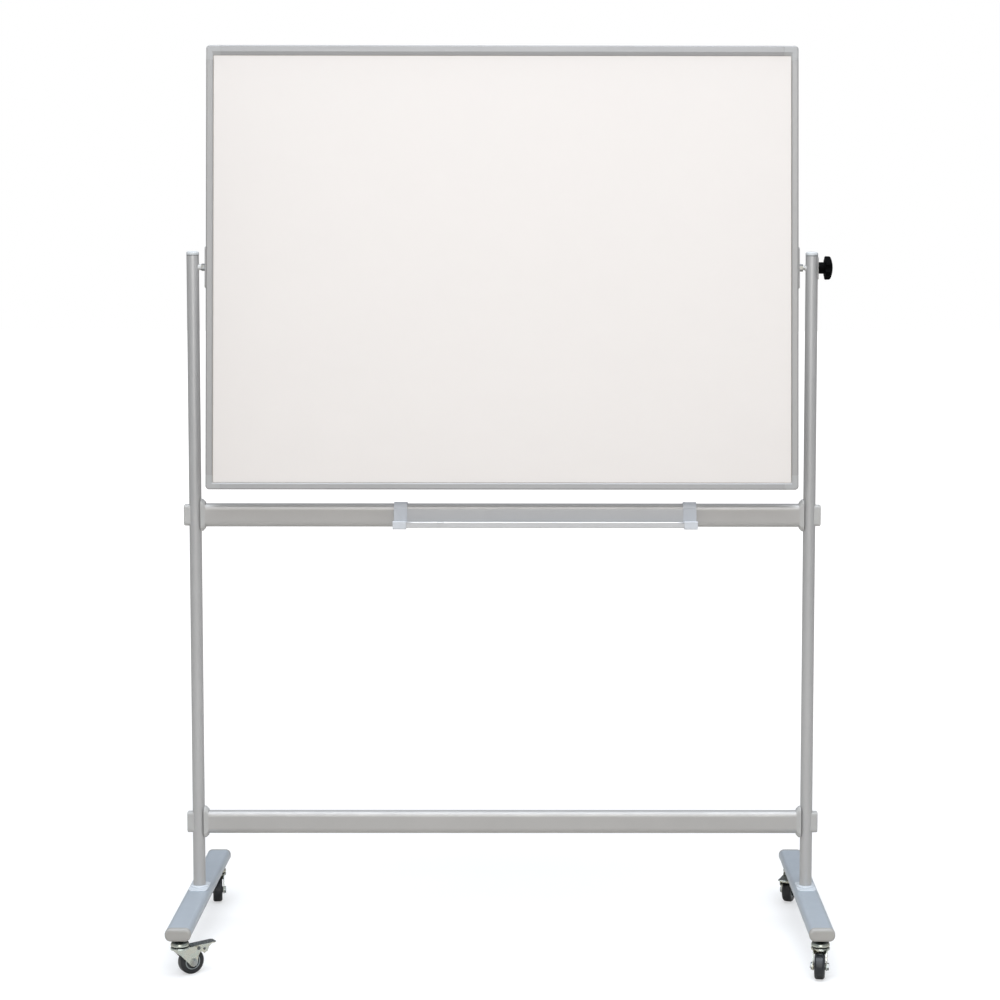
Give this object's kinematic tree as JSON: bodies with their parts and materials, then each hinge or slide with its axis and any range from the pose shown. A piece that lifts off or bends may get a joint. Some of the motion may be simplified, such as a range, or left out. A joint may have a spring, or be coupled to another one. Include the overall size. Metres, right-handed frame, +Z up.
{
  "type": "rolling whiteboard",
  "caption": "Double-sided whiteboard that flips end over end in a wheeled tube stand, with a locking knob, crossbars, a sliding pen tray and braked swivel casters.",
  "frame": {"origin": "on the floor, midway between the two uprights, under the axis the board turns on, which leans back 5 degrees at rest", "axes": "+Z up, +X to the right of someone writing on the front, -Y towards them"},
  "size_m": [1.3223, 0.6152, 1.8299],
  "materials": {
    "tube_paint": "satin silver-grey powder coat",
    "grey_plastic": "fine matte, silver-grey",
    "zinc_steel": "zinc plate with a faint yellow-green tint",
    "frame_aluminium": "satin anodised",
    "tray_paint": "satin silver-grey",
    "writing_enamel": "glossy white enamel",
    "fibreboard": "raw board, hidden",
    "nylon": "satin nylon",
    "dark_rubber": "matte",
    "black_plastic": "fine matte black",
    "tyre_rubber": "smooth dark rubber",
    "hub_plastic": "satin grey"
  },
  "bodies": {
    "stand": {"left_upright": "tube_paint", "right_upright": "tube_paint", "upright_caps": "grey_plastic", "left_foot": "tube_paint", "right_foot": "tube_paint", "foot_end_caps": "grey_plastic", "left_foot_collar": "grey_plastic", "right_foot_collar": "grey_plastic", "foot_bolts": "zinc_steel", "upper_crossbar": "tube_paint", "lower_crossbar": "tube_paint", "upper_left_bracket": "grey_plastic", "upper_right_bracket": "grey_plastic", "lower_left_bracket": "grey_plastic", "lower_right_bracket": "grey_plastic", "bracket_covers": "grey_plastic", "bracket_bolts": "zinc_steel", "caster_stems": "zinc_steel", "caster_stem_nuts": "zinc_steel", "swivel_seals": "dark_rubber", "pivot_bushings": "nylon", "knob_saddle_washer": "frame_aluminium"},
    "board": {"front_writing_sheet": "writing_enamel", "back_writing_sheet": "writing_enamel", "board_core": "fibreboard", "top_rail": "frame_aluminium", "bottom_rail": "frame_aluminium", "left_rail": "frame_aluminium", "right_rail": "frame_aluminium", "frame_corners": "grey_plastic", "left_pivot_plate": "frame_aluminium", "right_pivot_plate": "frame_aluminium", "pivot_plate_screws": "zinc_steel", "left_pivot_bolt": "zinc_steel", "right_pivot_stud": "zinc_steel", "pivot_nuts": "zinc_steel"},
    "knob": {"lock_knob": "black_plastic"},
    "tray": {"pen_tray": "tray_paint", "left_tray_clip": "grey_plastic", "right_tray_clip": "grey_plastic"},
    "front_left_caster": {"front_left_fork": "zinc_steel", "front_left_axle": "zinc_steel", "front_left_pedal_pin": "zinc_steel"},
    "front_left_wheel": {"front_left_tyre": "tyre_rubber", "front_left_hub": "hub_plastic"},
    "front_left_pedal": {"front_left_brake_pedal": "zinc_steel"},
    "front_right_caster": {"front_right_fork": "zinc_steel", "front_right_axle": "zinc_steel"},
    "front_right_wheel": {"front_right_tyre": "tyre_rubber", "front_right_hub": "hub_plastic"},
    "rear_left_caster": {"rear_left_fork": "zinc_steel", "rear_left_axle": "zinc_steel"},
    "rear_left_wheel": {"rear_left_tyre": "tyre_rubber", "rear_left_hub": "hub_plastic"},
    "rear_right_caster": {"rear_right_fork": "zinc_steel", "rear_right_axle": "zinc_steel", "rear_right_pedal_pin": "zinc_steel"},
    "rear_right_wheel": {"rear_right_tyre": "tyre_rubber", "rear_right_hub": "hub_plastic"},
    "rear_right_pedal": {"rear_right_brake_pedal": "zinc_steel"}
  },
  "joints": [
    {"name": "board_flip", "type": "hinge", "parent": "stand", "child": "board", "pos_m": [0, 0, 1.381], "axis": [1, 0, 0], "continuous": true},
    {"name": "knob_turn", "type": "hinge", "parent": "board", "child": "knob", "pos_m": [0.656, 0, 1.381], "axis": [1, 0, 0], "range_deg": [0, 720]},
    {"name": "tray_slide", "type": "slide", "parent": "stand", "child": "tray", "axis": [1, 0, 0], "range_m": [-0.385, 0.2105]},
    {"name": "front_left_swivel", "type": "hinge", "parent": "stand", "child": "front_left_caster", "pos_m": [-0.6275, -0.267, 0.056], "axis": [0, 0, 1], "continuous": true},
    {"name": "front_left_roll", "type": "hinge", "parent": "front_left_caster", "child": "front_left_wheel", "pos_m": [-0.60843, -0.25414, 0.025], "axis": [0.5592, -0.829, 0], "continuous": true},
    {"name": "front_left_brake", "type": "hinge", "parent": "front_left_caster", "child": "front_left_pedal", "pos_m": [-0.59973, -0.24827, 0.0515], "axis": [-0.5592, 0.829, 0], "range_deg": [0, 24], "stiffness_Nm_per_rad": 0.3},
    {"name": "front_right_swivel", "type": "hinge", "parent": "stand", "child": "front_right_caster", "pos_m": [0.6275, -0.267, 0.056], "axis": [0, 0, 1], "continuous": true},
    {"name": "front_right_roll", "type": "hinge", "parent": "front_right_caster", "child": "front_right_wheel", "pos_m": [0.6237, -0.28968, 0.025], "axis": [-0.9863, 0.165, 0], "continuous": true},
    {"name": "rear_left_swivel", "type": "hinge", "parent": "stand", "child": "rear_left_caster", "pos_m": [-0.6275, 0.267, 0.056], "axis": [0, 0, 1], "continuous": true},
    {"name": "rear_left_roll", "type": "hinge", "parent": "rear_left_caster", "child": "rear_left_wheel", "pos_m": [-0.6243, 0.24422, 0.025], "axis": [-0.9903, -0.1392, 0], "continuous": true},
    {"name": "rear_right_swivel", "type": "hinge", "parent": "stand", "child": "rear_right_caster", "pos_m": [0.6275, 0.267, 0.056], "axis": [0, 0, 1], "continuous": true},
    {"name": "rear_right_roll", "type": "hinge", "parent": "rear_right_caster", "child": "rear_right_wheel", "pos_m": [0.61926, 0.24553, 0.025], "axis": [-0.9336, 0.3584, 0], "continuous": true},
    {"name": "rear_right_brake", "type": "hinge", "parent": "rear_right_caster", "child": "rear_right_pedal", "pos_m": [0.61549, 0.23573, 0.0515], "axis": [0.9336, -0.3584, 0], "range_deg": [0, 24], "stiffness_Nm_per_rad": 0.3}
  ]
}
